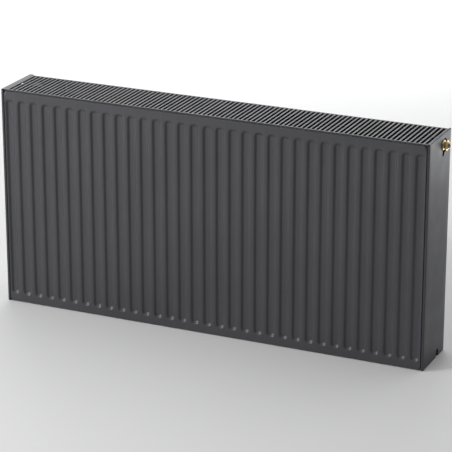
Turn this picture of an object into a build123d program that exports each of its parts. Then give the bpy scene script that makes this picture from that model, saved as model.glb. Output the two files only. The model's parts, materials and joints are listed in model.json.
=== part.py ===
"""Type 33 steel panel radiator with a built-in thermostatic valve, in millimetres.

Three water panels stand one behind the other with three convectors between them. The front faces
-Y, the wall is towards +Y, the valve is at the upper end on the +X side and +Z is up. The origin
is at the middle of the overall box, on the bottom edge.
"""
from build123d import *
from math import cos, radians, tan
import os

os.makedirs("parts", exist_ok=True)

# ---- driving dimensions ---------------------------------------------------------------------
panel_length = 1100.0
panel_height = 554.0
tapping_inset = 27.0  # centre of each tapping from the panel's top or bottom edge
channel_count = 33
sheet = 1.25  # panel steel
panel_depth = 12.0  # one water panel, over both pressed sheets
front_gap = 49.0  # between the front and middle panels
rear_gap = 62.0  # between the middle and rear panels
lug_depth = 8.0  # wall lugs behind the rear panel
cover_reach = 6.0  # each side cover stands this far beyond the panels' ends
casing_rise = 3.0  # grille and covers stand this far above the panels
casing_sheet = 1.0
pin_reach = 15.5  # valve pin beyond the right cover
nozzle_reach = 9.0  # vent nozzle beyond the left cover

# ---- worked-out places ----------------------------------------------------------------------
casing_depth = 3 * panel_depth + front_gap + rear_gap
depth = casing_depth + lug_depth
casing_height = panel_height + casing_rise
half_panel = panel_length / 2
half_casing = half_panel + cover_reach
pitch = panel_length / channel_count
mid_x = (nozzle_reach - pin_reach) / 2
front_y = -depth / 2
front_mid_plane = front_y + panel_depth / 2
middle_mid_plane = front_mid_plane + panel_depth + front_gap
rear_mid_plane = middle_mid_plane + panel_depth + rear_gap
front_gap_start = front_y + panel_depth
rear_gap_start = middle_mid_plane + panel_depth / 2
tee_y = rear_gap_start + rear_gap / 2
tee_offset = 527.0  # tee and spacer axes from the middle of the panel, along X
low_z = tapping_inset
high_z = panel_height - tapping_inset
right = mid_x + half_casing  # outer face of the right cover
left = mid_x - half_casing


def write(part, label):
    """Labels one finished piece and writes its STEP file."""
    part.label = label
    export_step(part, "parts/" + label + ".step")


def upright_plane(y):
    """A plane facing the front at depth y, with sketch x along X and sketch y along Z."""
    return Plane.XZ.offset(-y)


# ---- pressed panel sheets -------------------------------------------------------------------
rim = 3.5  # flat seam edge outside the raised pan
pan_corner = 9.0
pan_taper = 20.0
recess_width = 20.0  # across the mouth
recess_inset = 23.0  # recess ends from the panel's top and bottom edges
recess_taper = 40.0
port_radius = 9.0
press_depth = panel_depth / 2 - sheet
recess_floor = recess_width - 2 * press_depth * tan(radians(recess_taper))
wall_growth = 2 * sheet * (1 / cos(radians(recess_taper)) - tan(radians(recess_taper)))
long_recess = panel_height - 2 * recess_inset
port_clearance = 18.0  # short recesses stop this far from a port's centre
short_recess = panel_height - 2 * (tapping_inset + port_clearance)


def recess_places(count):
    """Middle points of the upright recesses, in a sketch on an upright plane."""
    return GridLocations(pitch, 0, count, 1)


def recess_slots(width, end_length):
    """Sketch of every recess: full ones, and one at each end with its own length."""
    ends = width - recess_width  # the slot's ends grow or shrink with its width
    end_x = half_panel - pitch / 2
    with BuildSketch() as slots:
        with Locations((0, panel_height / 2)):
            with recess_places(channel_count - 2):
                SlotOverall(long_recess + ends, width, rotation=90)
            with Locations((-end_x, 0), (end_x, 0)):
                SlotOverall(end_length + ends, width, rotation=90)
    return slots.sketch


def pressed_sheet(end_length, port_x):
    """One panel sheet facing the front, its seam plane at y = 0, with water ports at port_x."""
    pan_size = (panel_length - 2 * rim, panel_height - 2 * rim)
    centre = (0, panel_height / 2)
    with BuildPart() as hollow:
        with BuildSketch(upright_plane(0)):
            with Locations(centre):
                RectangleRounded(pan_size[0] - 2 * sheet, pan_size[1] - 2 * sheet, pan_corner - sheet)
        extrude(amount=press_depth, taper=pan_taper)
        with BuildSketch(upright_plane(0)):
            add(recess_slots(recess_floor + wall_growth, end_length))
        extrude(amount=press_depth, taper=-recess_taper, mode=Mode.SUBTRACT)
    with BuildPart() as pressing:
        with BuildSketch(upright_plane(0)):
            with Locations(centre):
                Rectangle(panel_length, panel_height)
        extrude(amount=sheet)
        with BuildSketch(upright_plane(0)):
            with Locations(centre):
                RectangleRounded(pan_size[0], pan_size[1], pan_corner)
        extrude(amount=panel_depth / 2, taper=pan_taper)
        with BuildSketch(upright_plane(-sheet)):
            add(recess_slots(recess_floor, end_length))
        extrude(amount=press_depth, taper=-recess_taper, mode=Mode.SUBTRACT)
        add(hollow.part, mode=Mode.SUBTRACT)
        if port_x:
            with BuildSketch(upright_plane(0)):
                with Locations(*[(x, z) for x in port_x for z in (low_z, high_z)]):
                    Circle(port_radius)
            extrude(amount=panel_depth, mode=Mode.SUBTRACT)
    return pressing.part


plain_pressing = pressed_sheet(long_recess, ())
ported_pressing = pressed_sheet(short_recess, (-tee_offset, tee_offset))

# ---- name: pressing, seam plane, faces the wall
panel_sheets = {
    "front_panel_outer_sheet": (plain_pressing, front_mid_plane, False),
    "front_panel_inner_sheet": (ported_pressing, front_mid_plane, True),
    "middle_panel_front_sheet": (ported_pressing, middle_mid_plane, False),
    "middle_panel_back_sheet": (ported_pressing, middle_mid_plane, True),
    "rear_panel_front_sheet": (ported_pressing, rear_mid_plane, False),
    "rear_panel_back_sheet": (plain_pressing, rear_mid_plane, True),
}
for name, (pressing_shape, seam_y, faces_wall) in panel_sheets.items():
    turned = mirror(pressing_shape, about=Plane.XZ) if faces_wall else pressing_shape
    with BuildPart() as panel_sheet:
        with Locations((mid_x, seam_y, 0)):
            add(turned)
    write(panel_sheet.part, name)

# ---- convectors -----------------------------------------------------------------------------
fin_sheet = 0.6
fin_count = 28
fin_start = mid_x - 490.0  # both convector ends clear the tees
fin_bottom = 34.0
fin_top = 522.0
fin_clearance = 3.0  # between the two convectors of the rear gap


def corrugation(near_y, far_y):
    """Closed outline of a square-folded strip whose flats touch near_y and far_y in turn."""
    step = fin_sheet if far_y > near_y else -fin_sheet
    upper = [(fin_start, near_y + step)]
    lower = [(fin_start, near_y)]
    for wall in range(1, 2 * fin_count):
        wall_x = fin_start + wall * pitch / 2
        rising = wall % 2 == 1
        side = fin_sheet / 2 if rising else -fin_sheet / 2
        upper_levels = (near_y + step, far_y) if rising else (far_y, near_y + step)
        lower_levels = (near_y, far_y - step) if rising else (far_y - step, near_y)
        upper += [(wall_x - side, level) for level in upper_levels]
        lower += [(wall_x + side, level) for level in lower_levels]
    fin_end = fin_start + fin_count * pitch
    upper.append((fin_end, far_y))
    lower.append((fin_end, far_y - step))
    return upper + lower[::-1]


front_fin_depth = 35.0
rear_fin_depth = (rear_gap - fin_clearance) / 2
rear_panel_face = rear_gap_start + rear_gap
convectors = {
    "front_convector": (front_gap_start, front_gap_start + front_fin_depth),
    "middle_convector": (rear_gap_start, rear_gap_start + rear_fin_depth),
    "rear_convector": (rear_panel_face, rear_panel_face - rear_fin_depth),
}
for name, (near_y, far_y) in convectors.items():
    with BuildPart() as convector:
        with BuildSketch(Plane.XY.offset(fin_bottom)):
            with BuildLine():
                Polyline(*corrugation(near_y, far_y), close=True)
            make_face()
        extrude(amount=fin_top - fin_bottom)
    write(convector.part, name)

# ---- tees, spacers and pipework -------------------------------------------------------------
tee_radius = 14.0
tee_bore = 11.5
mouth_radius = 14.5
mouth_bore = 10.0
mouth_face = half_panel - 2.0  # the tapping's face, from the middle of the panel
elbow_radius = 12.0
elbow_bore = 8.0
elbow_face = 503.0  # where the riser meets the valve tee
socket_radius = 14.0
socket_bore = 9.3
socket_mouth = 1.0
socket_bore_depth = 11.0
neck_bore = 7.5
spacer_radius = 12.0


def across_plane(x):
    """A plane across X at x, its sketch x along Y and sketch y along Z."""
    return Plane(origin=(x, 0, 0), x_dir=(0, 1, 0), z_dir=(1, 0, 0))


def corner_tee(side, z, has_elbow, has_socket):
    """Cross pipe between the middle and rear panels with a tapping facing out through the end."""
    tee_x = mid_x + side * tee_offset
    mouth_x = mid_x + side * mouth_face
    elbow_x = mid_x + side * elbow_face
    with BuildPart() as tee:
        with BuildSketch(upright_plane(rear_panel_face)):
            with Locations((tee_x, z)):
                Circle(tee_radius)
        extrude(amount=rear_gap)
        with BuildSketch(across_plane(tee_x)):
            with Locations((tee_y, z)):
                Circle(mouth_radius)
        extrude(amount=mouth_x - tee_x)
        if has_elbow:
            with BuildSketch(across_plane(tee_x)):
                with Locations((tee_y, z)):
                    Circle(elbow_radius)
            extrude(amount=elbow_x - tee_x)
        with BuildSketch(upright_plane(rear_panel_face)):
            with Locations((tee_x, z)):
                Circle(tee_bore)
        extrude(amount=rear_gap, mode=Mode.SUBTRACT)
        with BuildSketch(across_plane(tee_x)):
            with Locations((tee_y, z)):
                Circle(mouth_bore)
        extrude(amount=mouth_x - tee_x, mode=Mode.SUBTRACT)
        if has_elbow:
            with BuildSketch(across_plane(tee_x)):
                with Locations((tee_y, z)):
                    Circle(elbow_bore)
            extrude(amount=elbow_x - tee_x, mode=Mode.SUBTRACT)
        if has_socket:
            with BuildSketch(Plane.XY.offset(z)):
                with Locations((tee_x, tee_y)):
                    Circle(neck_bore)
            extrude(amount=-tee_radius, mode=Mode.SUBTRACT)
    return tee.part


write(corner_tee(1, high_z, True, False), "valve_tee")
write(corner_tee(1, low_z, False, True), "lower_right_tee")
write(corner_tee(-1, high_z, False, False), "vent_tee")
write(corner_tee(-1, low_z, False, False), "lower_left_tee")

corner_places = [(mid_x + side * tee_offset, z) for side in (-1, 1) for z in (low_z, high_z)]
with BuildPart() as header_spacers:
    with BuildSketch(upright_plane(front_gap_start + front_gap)):
        with Locations(*corner_places):
            Circle(spacer_radius)
            Circle(port_radius, mode=Mode.SUBTRACT)
    extrude(amount=front_gap)
write(header_spacers.part, "header_spacers")

socket_spacing = 50.0
return_x = mid_x + tee_offset
flow_x = return_x - socket_spacing
riser_radius = 9.0
riser_bore = 7.5
riser_bend = 22.0
flow_socket_top = 22.0
riser_seat = 18.0

with BuildPart() as flow_socket:
    with Locations((flow_x, tee_y, socket_mouth)):
        Cylinder(
            socket_radius,
            flow_socket_top - socket_mouth,
            align=(Align.CENTER, Align.CENTER, Align.MIN),
        )
        Cylinder(
            socket_bore,
            socket_bore_depth,
            align=(Align.CENTER, Align.CENTER, Align.MIN),
            mode=Mode.SUBTRACT,
        )
    with Locations((flow_x, tee_y, socket_mouth)):
        Cylinder(
            neck_bore,
            flow_socket_top - socket_mouth,
            align=(Align.CENTER, Align.CENTER, Align.MIN),
            mode=Mode.SUBTRACT,
        )
    with Locations((flow_x, tee_y, riser_seat)):
        Cylinder(
            riser_radius,
            flow_socket_top - riser_seat,
            align=(Align.CENTER, Align.CENTER, Align.MIN),
            mode=Mode.SUBTRACT,
        )
write(flow_socket.part, "flow_socket")

with BuildPart() as return_socket:
    with Locations((return_x, tee_y, socket_mouth)):
        Cylinder(socket_radius, low_z - socket_mouth, align=(Align.CENTER, Align.CENTER, Align.MIN))
        Cylinder(
            neck_bore,
            low_z - socket_mouth,
            align=(Align.CENTER, Align.CENTER, Align.MIN),
            mode=Mode.SUBTRACT,
        )
        Cylinder(
            socket_bore,
            socket_bore_depth,
            align=(Align.CENTER, Align.CENTER, Align.MIN),
            mode=Mode.SUBTRACT,
        )
    with BuildSketch(upright_plane(tee_y + socket_radius)):
        with Locations((return_x, low_z)):
            Circle(tee_radius)
    extrude(amount=2 * socket_radius, mode=Mode.SUBTRACT)
    with BuildSketch(across_plane(return_x - socket_radius)):
        with Locations((tee_y, low_z)):
            Circle(mouth_radius)
    extrude(amount=2 * socket_radius, mode=Mode.SUBTRACT)
write(return_socket.part, "return_socket")

with BuildPart() as riser_pipe:
    with BuildLine(upright_plane(tee_y)) as riser_route:
        FilletPolyline(
            (mid_x + elbow_face, high_z),
            (flow_x, high_z),
            (flow_x, riser_seat),
            radius=riser_bend,
        )
    with BuildSketch(across_plane(mid_x + elbow_face)):
        with Locations((tee_y, high_z)):
            Circle(riser_radius)
            Circle(riser_bore, mode=Mode.SUBTRACT)
    sweep(path=riser_route.wires()[0])
write(riser_pipe.part, "riser_pipe")

# ---- wall lugs ------------------------------------------------------------------------------
lug_spread = 420.0  # lug centres from the middle of the panel
lug_width = 64.0
lug_height = 46.0
lug_tunnel = 32.0
lug_sheet = 2.0
lug_heights = {"lower_lugs": 74.0, "upper_lugs": 480.0}
rear_face = rear_mid_plane + panel_depth / 2
lug_outline = [
    (-lug_width / 2, 0),
    (-lug_width / 2, lug_sheet),
    (-lug_tunnel / 2 - lug_sheet, lug_sheet),
    (-lug_tunnel / 2 - lug_sheet, lug_depth),
    (lug_tunnel / 2 + lug_sheet, lug_depth),
    (lug_tunnel / 2 + lug_sheet, lug_sheet),
    (lug_width / 2, lug_sheet),
    (lug_width / 2, 0),
    (lug_tunnel / 2, 0),
    (lug_tunnel / 2, lug_depth - lug_sheet),
    (-lug_tunnel / 2, lug_depth - lug_sheet),
    (-lug_tunnel / 2, 0),
]
for name, lug_z in lug_heights.items():
    with BuildPart() as lugs:
        for lug_x in (mid_x - lug_spread, mid_x + lug_spread):
            with BuildSketch(Plane.XY.offset(lug_z - lug_height / 2)):
                with BuildLine():
                    Polyline(*[(lug_x + x, rear_face + y) for x, y in lug_outline], close=True)
                make_face()
            extrude(amount=lug_height)
    write(lugs.part, name)

# ---- thermostatic valve insert --------------------------------------------------------------
# Distances along the valve are taken from the outer face of the right cover, outwards positive.
valve_axis = Axis((right, tee_y, high_z), (1, 0, 0))
insert_end = elbow_face + 3.0 - half_casing
seat_face = insert_end + 6.0
cage_end = insert_end + 24.0
web_start = cage_end - 3.5
mouth = mouth_face - half_casing
bore_shoulder = -13.0
hex_end = -1.0
hex_across = 22.0
collar_start = 4.0
collar_end = 7.2
collar_radius = 12.5
collar_break = 0.5
nose_end = 10.6
nose_radius = 8.5
tube_radius = 7.6
thread_radius = 9.9
neck_radius = 8.2
seat_bore = 5.0
chamber = 6.2
gland_bore = 4.05
pin_radius = 1.5
pin_bore = 1.55
groove_width = 2.0
groove_radius = 6.3
groove_start = insert_end + 2.0
edge_break = 0.8
window_margin = 1.5  # the cage's windows stop this far from the seat and the web
window_height = 6.0
window_length = web_start - seat_face - 2 * window_margin
window_middle = (web_start + seat_face) / 2


def valve_section(points):
    """Half section of a turned piece: points are (distance along the valve, radius)."""
    return [(right + along, high_z + radius) for along, radius in points]


with BuildPart() as valve_insert_body:
    with BuildSketch(upright_plane(tee_y)):
        with BuildLine():
            Polyline(
                *valve_section(
                    [
                        (insert_end, seat_bore),
                        (insert_end, tube_radius),
                        (groove_start, tube_radius),
                        (groove_start, groove_radius),
                        (groove_start + groove_width, groove_radius),
                        (groove_start + groove_width, tube_radius),
                        (cage_end, tube_radius),
                        (cage_end, thread_radius),
                        (mouth, thread_radius),
                        (mouth, neck_radius),
                        (collar_start, neck_radius),
                        (collar_start, collar_radius - collar_break),
                        (collar_start + collar_break, collar_radius),
                        (collar_end - collar_break, collar_radius),
                        (collar_end, collar_radius - collar_break),
                        (collar_end, nose_radius),
                        (nose_end - edge_break, nose_radius),
                        (nose_end, nose_radius - edge_break),
                        (nose_end, gland_bore),
                        (bore_shoulder, gland_bore),
                        (bore_shoulder, chamber),
                        (cage_end, chamber),
                        (cage_end, pin_bore),
                        (web_start, pin_bore),
                        (web_start, chamber),
                        (seat_face, chamber),
                        (seat_face, seat_bore),
                    ]
                ),
                close=True,
            )
        make_face()
    revolve(axis=valve_axis)
    with BuildSketch(across_plane(right + mouth)):
        with Locations((tee_y, high_z)):
            RegularPolygon(hex_across / 2, 6, major_radius=False)
            Circle(neck_radius, mode=Mode.SUBTRACT)
    extrude(amount=hex_end - mouth)
    with Locations((right + window_middle, tee_y, high_z)):
        Box(window_length, 2 * thread_radius, window_height, mode=Mode.SUBTRACT)
        Box(window_length, window_height, 2 * thread_radius, mode=Mode.SUBTRACT)
write(valve_insert_body.part, "valve_insert_body")

gland_end = 5.0
gland_radius = gland_bore - 0.05  # a slip fit in the insert
ring_groove_start = 1.0
ring_groove_end = 2.6
ring_groove_radius = 3.0
with BuildPart() as gland_bush:
    with BuildSketch(upright_plane(tee_y)):
        with BuildLine():
            Polyline(
                *valve_section(
                    [
                        (bore_shoulder, pin_bore),
                        (bore_shoulder, gland_radius),
                        (gland_end, gland_radius),
                        (gland_end, pin_bore),
                        (ring_groove_end, pin_bore),
                        (ring_groove_end, ring_groove_radius),
                        (ring_groove_start, ring_groove_radius),
                        (ring_groove_start, pin_bore),
                    ]
                ),
                close=True,
            )
        make_face()
    revolve(axis=valve_axis)
write(gland_bush.part, "gland_bush")

stem_ring_cord = 0.7
stem_ring_place = (ring_groove_start + ring_groove_end) / 2
with BuildPart() as stem_o_ring:
    with BuildSketch(upright_plane(tee_y)):
        with Locations((right + stem_ring_place, high_z + pin_bore + stem_ring_cord)):
            Circle(stem_ring_cord)
    revolve(axis=valve_axis)
write(stem_o_ring.part, "stem_o_ring")

insert_ring_cord = 0.8
with BuildPart() as insert_o_ring:
    with BuildSketch(upright_plane(tee_y)):
        with Locations((right + groove_start + groove_width / 2, high_z + groove_radius + insert_ring_cord)):
            Circle(insert_ring_cord)
    revolve(axis=valve_axis)
write(insert_o_ring.part, "insert_o_ring")

# The stem is drawn open: the cone stands one lift off its seat.
lift = 3.0
cone_face = seat_face + lift + 0.3
cone_back = cone_face + 2.5
holder_back = cone_back + 1.5
cone_radius = 5.7
holder_radius = 4.5
retainer_start = bore_shoulder - 2.0
retainer_end = bore_shoulder - 1.0
retainer_radius = 4.2
with BuildPart() as valve_stem:
    with BuildSketch(upright_plane(tee_y)):
        with BuildLine():
            Polyline(
                *valve_section(
                    [
                        (cone_back, 0),
                        (cone_back, holder_radius),
                        (holder_back, holder_radius),
                        (holder_back, pin_radius),
                        (retainer_start, pin_radius),
                        (retainer_start, retainer_radius),
                        (retainer_end, retainer_radius),
                        (retainer_end, pin_radius),
                        (pin_reach - 0.5, pin_radius),
                        (pin_reach, pin_radius - 0.5),
                        (pin_reach, 0),
                    ]
                ),
                close=True,
            )
        make_face()
    revolve(axis=valve_axis)
write(valve_stem.part, "valve_stem")

with BuildPart() as valve_cone:
    with BuildSketch(across_plane(right + cone_face)):
        with Locations((tee_y, high_z)):
            Circle(cone_radius)
    extrude(amount=cone_back - cone_face)
write(valve_cone.part, "valve_cone")

spring_radius = 3.2
spring_wire = 0.4
spring_turns = 5
spring_start = cage_end + spring_wire + 0.1
spring_length = retainer_start - spring_wire - 0.1 - spring_start
with BuildPart() as valve_spring:
    with BuildLine() as coil:
        Helix(
            pitch=spring_length / spring_turns,
            height=spring_length,
            radius=spring_radius,
            center=(right + spring_start, tee_y, high_z),
            direction=(1, 0, 0),
        )
    with BuildSketch(Plane(origin=coil.line @ 0, z_dir=coil.line % 0)):
        Circle(spring_wire)
    sweep(path=coil.line, is_frenet=True)
write(valve_spring.part, "valve_spring")

ring_face = nose_end + 0.2
ring_end = 12.4
ring_radius = 5.75
ring_bore = 1.8
sleeve_radius = 4.0
notch_width = 1.2
notch_depth = 1.0
with BuildPart() as presetting_ring:
    with BuildSketch(upright_plane(tee_y)):
        with BuildLine():
            Polyline(
                *valve_section(
                    [
                        (gland_end + 0.3, ring_bore),
                        (gland_end + 0.3, sleeve_radius),
                        (ring_face, sleeve_radius),
                        (ring_face, ring_radius),
                        (ring_end - 0.3, ring_radius),
                        (ring_end, ring_radius - 0.3),
                        (ring_end, ring_bore),
                    ]
                ),
                close=True,
            )
        make_face()
    revolve(axis=valve_axis)
    with BuildSketch(across_plane(right + ring_end)):
        with Locations((tee_y, high_z)):
            with PolarLocations(ring_radius, 8):
                Rectangle(2 * notch_depth, notch_width)
    extrude(amount=ring_face - ring_end, mode=Mode.SUBTRACT)
write(presetting_ring.part, "presetting_ring")

# ---- vent plug, upper left ------------------------------------------------------------------
# Distances are taken from the outer face of the left cover, outwards (towards -X) positive.
vent_axis = Axis((left, tee_y, high_z), (-1, 0, 0))
seal_groove_width = 1.8  # behind the head of the vent plug and of each blind plug
seal_groove_radius = thread_radius - 1.6
plug_ring_cord = 0.75
plug_ring_radius = thread_radius - 0.8  # centre of the ring's cord
vent_thread_end = -26.0
vent_flange_end = -5.0
vent_hex_end = 2.0
vent_flange_radius = 13.0
vent_hex_across = 22.0
vent_spigot_end = 7.0
vent_spigot_radius = 6.0
vent_bore = 2.6
vent_seat_bore = 1.2
nozzle_start = 2.3
nozzle_radius = 9.0
nozzle_bore = 6.05
nozzle_edge = 0.6
nozzle_middle = (nozzle_start + vent_spigot_end) / 2
spout_reach = 14.0  # mouth of the spout below the vent's axis
spout_radius = 2.2
spout_bore = 1.2
screw_radius = 2.55
screw_square = 5.0
vent_seat = vent_thread_end + 8.0
screw_tip = vent_seat - 0.6  # the cone stands 0.1 clear of its seat
screw_cone = 1.5
screw_collar_end = vent_spigot_end + 0.4


def vent_section(points):
    """Half section of a turned piece of the vent: points are (distance outwards, radius)."""
    return [(left - along, high_z + radius) for along, radius in points]


with BuildPart() as vent_plug_body:
    with BuildSketch(upright_plane(tee_y)):
        with BuildLine():
            Polyline(
                *vent_section(
                    [
                        (vent_thread_end, vent_seat_bore),
                        (vent_thread_end, thread_radius),
                        (mouth - seal_groove_width, thread_radius),
                        (mouth - seal_groove_width, seal_groove_radius),
                        (mouth, seal_groove_radius),
                        (mouth, vent_flange_radius),
                        (vent_flange_end, vent_flange_radius),
                        (vent_flange_end, neck_radius),
                        (vent_hex_end, neck_radius),
                        (vent_hex_end, vent_spigot_radius),
                        (vent_spigot_end, vent_spigot_radius),
                        (vent_spigot_end, vent_bore),
                        (vent_seat, vent_bore),
                        (vent_seat, vent_seat_bore),
                    ]
                ),
                close=True,
            )
        make_face()
    revolve(axis=vent_axis)
    with BuildSketch(across_plane(left - vent_flange_end)):
        with Locations((tee_y, high_z)):
            RegularPolygon(vent_hex_across / 2, 6, major_radius=False)
            Circle(neck_radius, mode=Mode.SUBTRACT)
    extrude(amount=vent_flange_end - vent_hex_end)
write(vent_plug_body.part, "vent_plug_body")

with BuildPart() as vent_o_ring:
    with BuildSketch(upright_plane(tee_y)):
        with Locations((left - mouth + seal_groove_width / 2, high_z + plug_ring_radius)):
            Circle(plug_ring_cord)
    revolve(axis=vent_axis)
write(vent_o_ring.part, "vent_o_ring")

with BuildPart() as vent_nozzle:
    with BuildSketch(upright_plane(tee_y)):
        with BuildLine():
            Polyline(
                *vent_section(
                    [
                        (nozzle_start, nozzle_bore),
                        (nozzle_start, nozzle_radius - nozzle_edge),
                        (nozzle_start + nozzle_edge, nozzle_radius),
                        (vent_spigot_end - nozzle_edge, nozzle_radius),
                        (vent_spigot_end, nozzle_radius - nozzle_edge),
                        (vent_spigot_end, nozzle_bore),
                    ]
                ),
                close=True,
            )
        make_face()
    revolve(axis=vent_axis)
    with BuildSketch(Plane.XY.offset(high_z - spout_reach)):
        with Locations((left - nozzle_middle, tee_y)):
            Circle(spout_radius)
    extrude(amount=spout_reach - nozzle_bore - 1.0)
    with BuildSketch(Plane.XY.offset(high_z - spout_reach)):
        with Locations((left - nozzle_middle, tee_y)):
            Circle(spout_bore)
    extrude(amount=spout_reach - nozzle_bore + 1.0, mode=Mode.SUBTRACT)
write(vent_nozzle.part, "vent_nozzle")

with BuildPart() as bleed_screw:
    with BuildSketch(upright_plane(tee_y)):
        with BuildLine():
            Polyline(
                *vent_section(
                    [
                        (screw_tip, 0),
                        (screw_tip + screw_cone, screw_radius),
                        (screw_collar_end, screw_radius),
                        (screw_collar_end, 0),
                    ]
                ),
                close=True,
            )
        make_face()
    revolve(axis=vent_axis)
    with BuildSketch(across_plane(left - screw_collar_end)):
        with Locations((tee_y, high_z)):
            Rectangle(screw_square, screw_square)
    extrude(amount=screw_collar_end - nozzle_reach)
write(bleed_screw.part, "bleed_screw")

# ---- blind plugs, lower corners -------------------------------------------------------------
plug_length = 12.0
plug_head = 3.0
plug_head_radius = 13.0
plug_socket_across = 10.0
plug_socket_depth = 9.0
for side, name in ((-1, "lower_left"), (1, "lower_right")):
    face_x = mid_x + side * mouth_face
    plug_axis = Axis((face_x, tee_y, low_z), (side, 0, 0))
    plug_points = [
        (-plug_length, 0),
        (-plug_length, thread_radius),
        (-seal_groove_width, thread_radius),
        (-seal_groove_width, seal_groove_radius),
        (0, seal_groove_radius),
        (0, plug_head_radius),
        (plug_head - edge_break, plug_head_radius),
        (plug_head, plug_head_radius - edge_break),
        (plug_head, 0),
    ]
    with BuildPart() as blind_plug:
        with BuildSketch(upright_plane(tee_y)):
            with BuildLine():
                Polyline(*[(face_x + side * along, low_z + r) for along, r in plug_points], close=True)
            make_face()
        revolve(axis=plug_axis)
        with BuildSketch(across_plane(face_x + side * plug_head)):
            with Locations((tee_y, low_z)):
                RegularPolygon(plug_socket_across / 2, 6, major_radius=False)
        extrude(amount=-side * plug_socket_depth, mode=Mode.SUBTRACT)
    write(blind_plug.part, name + "_blind_plug")
    with BuildPart() as plug_o_ring:
        with BuildSketch(upright_plane(tee_y)):
            with Locations((face_x - side * seal_groove_width / 2, low_z + plug_ring_radius)):
                Circle(plug_ring_cord)
        revolve(axis=plug_axis)
    write(plug_o_ring.part, name + "_plug_o_ring")

# ---- top grille -----------------------------------------------------------------------------
slot_count = 94
slot_pitch = 11.6
slot_width = 6.8
slot_length = 130.0
slot_start = 4.5
first_slot = 22.2  # centre of the first slot from the left cover's outer face
grille_depth = 139.5
grille_flange = 2.5
left_lip = 12.0
right_lip = 3.5
lip_gap = 0.6
slot_corner = 1.5
grille_left = left + left_lip + lip_gap
grille_right = right - right_lip - lip_gap
grille_middle = (grille_left + grille_right) / 2
slots_middle = left + first_slot + (slot_count - 1) * slot_pitch / 2
grille_y = front_y + grille_depth / 2

with BuildPart() as top_grille:
    with BuildSketch(Plane.XY.offset(casing_height)):
        with Locations((grille_middle, grille_y)):
            Rectangle(grille_right - grille_left, grille_depth)
        with Locations((slots_middle, front_y + slot_start + slot_length / 2)):
            with GridLocations(slot_pitch, 0, slot_count, 1):
                RectangleRounded(slot_width, slot_length, slot_corner, mode=Mode.SUBTRACT)
    extrude(amount=-casing_sheet)
    with BuildSketch(Plane.XY.offset(casing_height)):
        for edge_y in (front_y + casing_sheet / 2, front_y + grille_depth - casing_sheet / 2):
            with Locations((grille_middle, edge_y)):
                Rectangle(grille_right - grille_left, casing_sheet)
    extrude(amount=-grille_flange)
write(top_grille.part, "top_grille")

# Each clip is a bar under one slat, resting on the panels' rims, with legs springing on the panels.
clip_slats = (8, 34, 60, 86)
clip_width = 4.4
clip_bar = casing_rise - casing_sheet
bar_front = 3.0  # the bar starts this far behind the front face
bar_length = casing_depth - 12.0
leg_depth = 22.0
leg_sheet = 0.8
leg_clearance = 0.4
leg_places = (
    front_gap_start + leg_clearance,
    front_gap_start + front_gap - leg_clearance - leg_sheet,
    rear_gap_start + leg_clearance,
    rear_panel_face - leg_clearance - leg_sheet,
)
with BuildPart() as grille_clips:
    with BuildSketch(Plane.XY.offset(panel_height)):
        for slat in clip_slats:
            slat_x = left + first_slot + (slat - 0.5) * slot_pitch
            with Locations((slat_x, front_y + bar_front)):
                Rectangle(clip_width, bar_length, align=(Align.CENTER, Align.MIN))
    extrude(amount=clip_bar)
    with BuildSketch(Plane.XY.offset(panel_height)):
        for slat in clip_slats:
            slat_x = left + first_slot + (slat - 0.5) * slot_pitch
            with Locations(*[(slat_x, leg_y) for leg_y in leg_places]):
                Rectangle(clip_width, leg_sheet, align=(Align.CENTER, Align.MIN))
    extrude(amount=-leg_depth)
write(grille_clips.part, "grille_clips")

# ---- side covers ----------------------------------------------------------------------------
opening_radius = 17.0
tail_width = 12.0
tail_drop = 19.0  # end of the tail below the opening's centre
tail_shift = 8.0  # and in front of it
notch_span = 15.0
notch_middle = -5.0  # from the tee's axis towards the front
notch_top = 20.0
cover_flange = cover_reach - 0.4
top_relief = 12.0  # the flanges are cut back this far below the top, beside the grille's end
fold_radius = 0.9


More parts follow.
